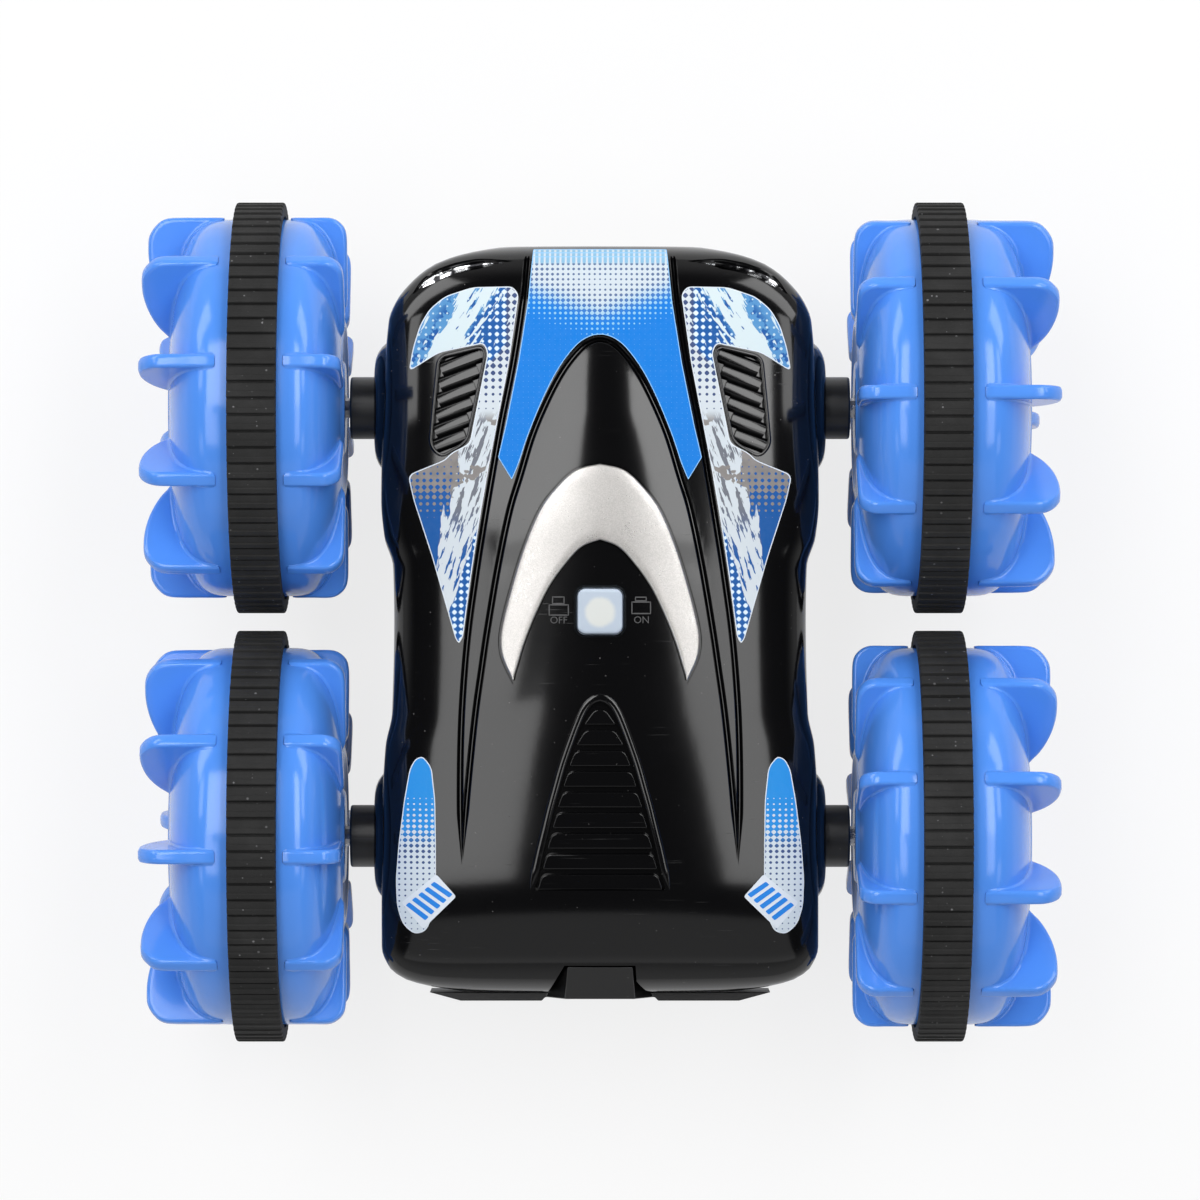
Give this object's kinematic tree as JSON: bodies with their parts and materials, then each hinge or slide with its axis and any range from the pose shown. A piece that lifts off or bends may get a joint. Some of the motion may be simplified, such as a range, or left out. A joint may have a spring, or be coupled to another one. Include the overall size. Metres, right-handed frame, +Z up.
{
  "type": "rc stunt car",
  "caption": "Amphibious radio-controlled stunt car: two-part hull, hollow paddle wheels with rubber treads, geared skid-steer drive, latching power button.",
  "frame": {"origin": "on the ground, midway between the four wheels", "axes": "+Z up, +Y towards the car's nose, +X to its right, along the wheel axles"},
  "size_m": [0.18, 0.1676, 0.082],
  "materials": {
    "gloss_black": "gloss",
    "satin_black": "satin",
    "silver_paint": "silver paint",
    "milky_silicone": "milky translucent silicone",
    "board_green": "solder mask",
    "battery_wrap": "shrink wrap",
    "seal_rubber": "matte",
    "steel": "plated",
    "blue_plastic": "gloss",
    "tread_rubber": "matte",
    "white_nylon": "natural nylon",
    "brass": "machined",
    "motor_can": "plated can",
    "gearbox_grey": "satin",
    "lead_red": "insulated wire"
  },
  "bodies": {
    "body": {"top_shell": "gloss_black", "bottom_shell": "gloss_black", "battery_door": "gloss_black", "rear_bumper": "satin_black", "power_switch": "satin_black", "windscreen_trim": "silver_paint", "control_board": "board_green", "battery_pack": "battery_wrap", "battery_door_seal": "seal_rubber", "battery_door_screw": "steel", "front_left_body_screw": "steel", "front_right_body_screw": "steel", "rear_left_body_screw": "steel", "rear_right_body_screw": "steel", "left_motor": "motor_can", "right_motor": "motor_can", "battery_lead": "lead_red", "left_motor_lead": "lead_red", "right_motor_lead": "lead_red", "left_gearbox_case": "gearbox_grey", "left_gearbox_cover": "satin_black", "right_gearbox_case": "gearbox_grey", "right_gearbox_cover": "satin_black"},
    "power_button": {"power_button": "milky_silicone"},
    "front_left_wheel": {"front_left_outer_drum": "blue_plastic", "front_left_inner_drum": "blue_plastic", "front_left_tread": "tread_rubber", "front_left_axle": "steel", "front_left_wheel_screw": "steel", "front_left_axle_gear": "white_nylon"},
    "rear_left_wheel": {"rear_left_outer_drum": "blue_plastic", "rear_left_inner_drum": "blue_plastic", "rear_left_tread": "tread_rubber", "rear_left_axle": "steel", "rear_left_wheel_screw": "steel", "rear_left_axle_gear": "white_nylon"},
    "left_front_idler_gear": {"left_front_idler_gear": "white_nylon"},
    "left_centre_gear": {"left_centre_gear": "white_nylon"},
    "left_rear_idler_gear": {"left_rear_idler_gear": "white_nylon"},
    "left_reduction_gear": {"left_reduction_gear": "white_nylon"},
    "left_motor_pinion": {"left_motor_pinion": "brass"},
    "front_right_wheel": {"front_right_outer_drum": "blue_plastic", "front_right_inner_drum": "blue_plastic", "front_right_tread": "tread_rubber", "front_right_axle": "steel", "front_right_wheel_screw": "steel", "front_right_axle_gear": "white_nylon"},
    "rear_right_wheel": {"rear_right_outer_drum": "blue_plastic", "rear_right_inner_drum": "blue_plastic", "rear_right_tread": "tread_rubber", "rear_right_axle": "steel", "rear_right_wheel_screw": "steel", "rear_right_axle_gear": "white_nylon"},
    "right_front_idler_gear": {"right_front_idler_gear": "white_nylon"},
    "right_centre_gear": {"right_centre_gear": "white_nylon"},
    "right_rear_idler_gear": {"right_rear_idler_gear": "white_nylon"},
    "right_reduction_gear": {"right_reduction_gear": "white_nylon"},
    "right_motor_pinion": {"right_motor_pinion": "brass"}
  },
  "joints": [
    {"name": "power_button_press", "type": "slide", "parent": "body", "child": "power_button", "axis": [0, 0, -1], "range_m": [0, 0.0018], "stiffness_N_per_m": 400, "springref_m": -0.0003},
    {"name": "front_left_wheel_spin", "type": "hinge", "parent": "body", "child": "front_left_wheel", "pos_m": [-0.0676, 0.04275, 0.041], "axis": [1, 0, 0], "continuous": true},
    {"name": "rear_left_wheel_spin", "type": "hinge", "parent": "body", "child": "rear_left_wheel", "pos_m": [-0.0676, -0.04275, 0.041], "axis": [1, 0, 0], "continuous": true},
    {"name": "left_front_idler_gear_spin", "type": "hinge", "parent": "body", "child": "left_front_idler_gear", "pos_m": [-0.03035, 0.02138, 0.041], "axis": [1, 0, 0], "continuous": true},
    {"name": "left_centre_gear_spin", "type": "hinge", "parent": "body", "child": "left_centre_gear", "pos_m": [-0.03035, 0, 0.041], "axis": [1, 0, 0], "continuous": true},
    {"name": "left_rear_idler_gear_spin", "type": "hinge", "parent": "body", "child": "left_rear_idler_gear", "pos_m": [-0.03035, -0.02138, 0.041], "axis": [1, 0, 0], "continuous": true},
    {"name": "left_reduction_gear_spin", "type": "hinge", "parent": "body", "child": "left_reduction_gear", "pos_m": [-0.03035, 0.0154, 0.041], "axis": [1, 0, 0], "continuous": true},
    {"name": "left_motor_pinion_spin", "type": "hinge", "parent": "body", "child": "left_motor_pinion", "pos_m": [-0.03035, 0.02702, 0.044], "axis": [1, 0, 0], "continuous": true},
    {"name": "front_right_wheel_spin", "type": "hinge", "parent": "body", "child": "front_right_wheel", "pos_m": [0.0676, 0.04275, 0.041], "axis": [1, 0, 0], "continuous": true},
    {"name": "rear_right_wheel_spin", "type": "hinge", "parent": "body", "child": "rear_right_wheel", "pos_m": [0.0676, -0.04275, 0.041], "axis": [1, 0, 0], "continuous": true},
    {"name": "right_front_idler_gear_spin", "type": "hinge", "parent": "body", "child": "right_front_idler_gear", "pos_m": [0.03035, 0.02138, 0.041], "axis": [1, 0, 0], "continuous": true},
    {"name": "right_centre_gear_spin", "type": "hinge", "parent": "body", "child": "right_centre_gear", "pos_m": [0.03035, 0, 0.041], "axis": [1, 0, 0], "continuous": true},
    {"name": "right_rear_idler_gear_spin", "type": "hinge", "parent": "body", "child": "right_rear_idler_gear", "pos_m": [0.03035, -0.02138, 0.041], "axis": [1, 0, 0], "continuous": true},
    {"name": "right_reduction_gear_spin", "type": "hinge", "parent": "body", "child": "right_reduction_gear", "pos_m": [0.03035, -0.0154, 0.041], "axis": [1, 0, 0], "continuous": true},
    {"name": "right_motor_pinion_spin", "type": "hinge", "parent": "body", "child": "right_motor_pinion", "pos_m": [0.03035, -0.02702, 0.044], "axis": [1, 0, 0], "continuous": true}
  ],
  "couplings": [
    {"joint": "rear_left_wheel_spin", "follows": "front_left_wheel_spin", "ratio": 1},
    {"joint": "left_front_idler_gear_spin", "follows": "front_left_wheel_spin", "ratio": -1},
    {"joint": "left_centre_gear_spin", "follows": "front_left_wheel_spin", "ratio": 1},
    {"joint": "left_rear_idler_gear_spin", "follows": "front_left_wheel_spin", "ratio": -1},
    {"joint": "left_reduction_gear_spin", "follows": "front_left_wheel_spin", "ratio": -2.5},
    {"joint": "left_motor_pinion_spin", "follows": "front_left_wheel_spin", "ratio": 7.5},
    {"joint": "rear_right_wheel_spin", "follows": "front_right_wheel_spin", "ratio": 1},
    {"joint": "right_front_idler_gear_spin", "follows": "front_right_wheel_spin", "ratio": -1},
    {"joint": "right_centre_gear_spin", "follows": "front_right_wheel_spin", "ratio": 1},
    {"joint": "right_rear_idler_gear_spin", "follows": "front_right_wheel_spin", "ratio": -1},
    {"joint": "right_reduction_gear_spin", "follows": "front_right_wheel_spin", "ratio": -2.5},
    {"joint": "right_motor_pinion_spin", "follows": "front_right_wheel_spin", "ratio": 7.5}
  ]
}
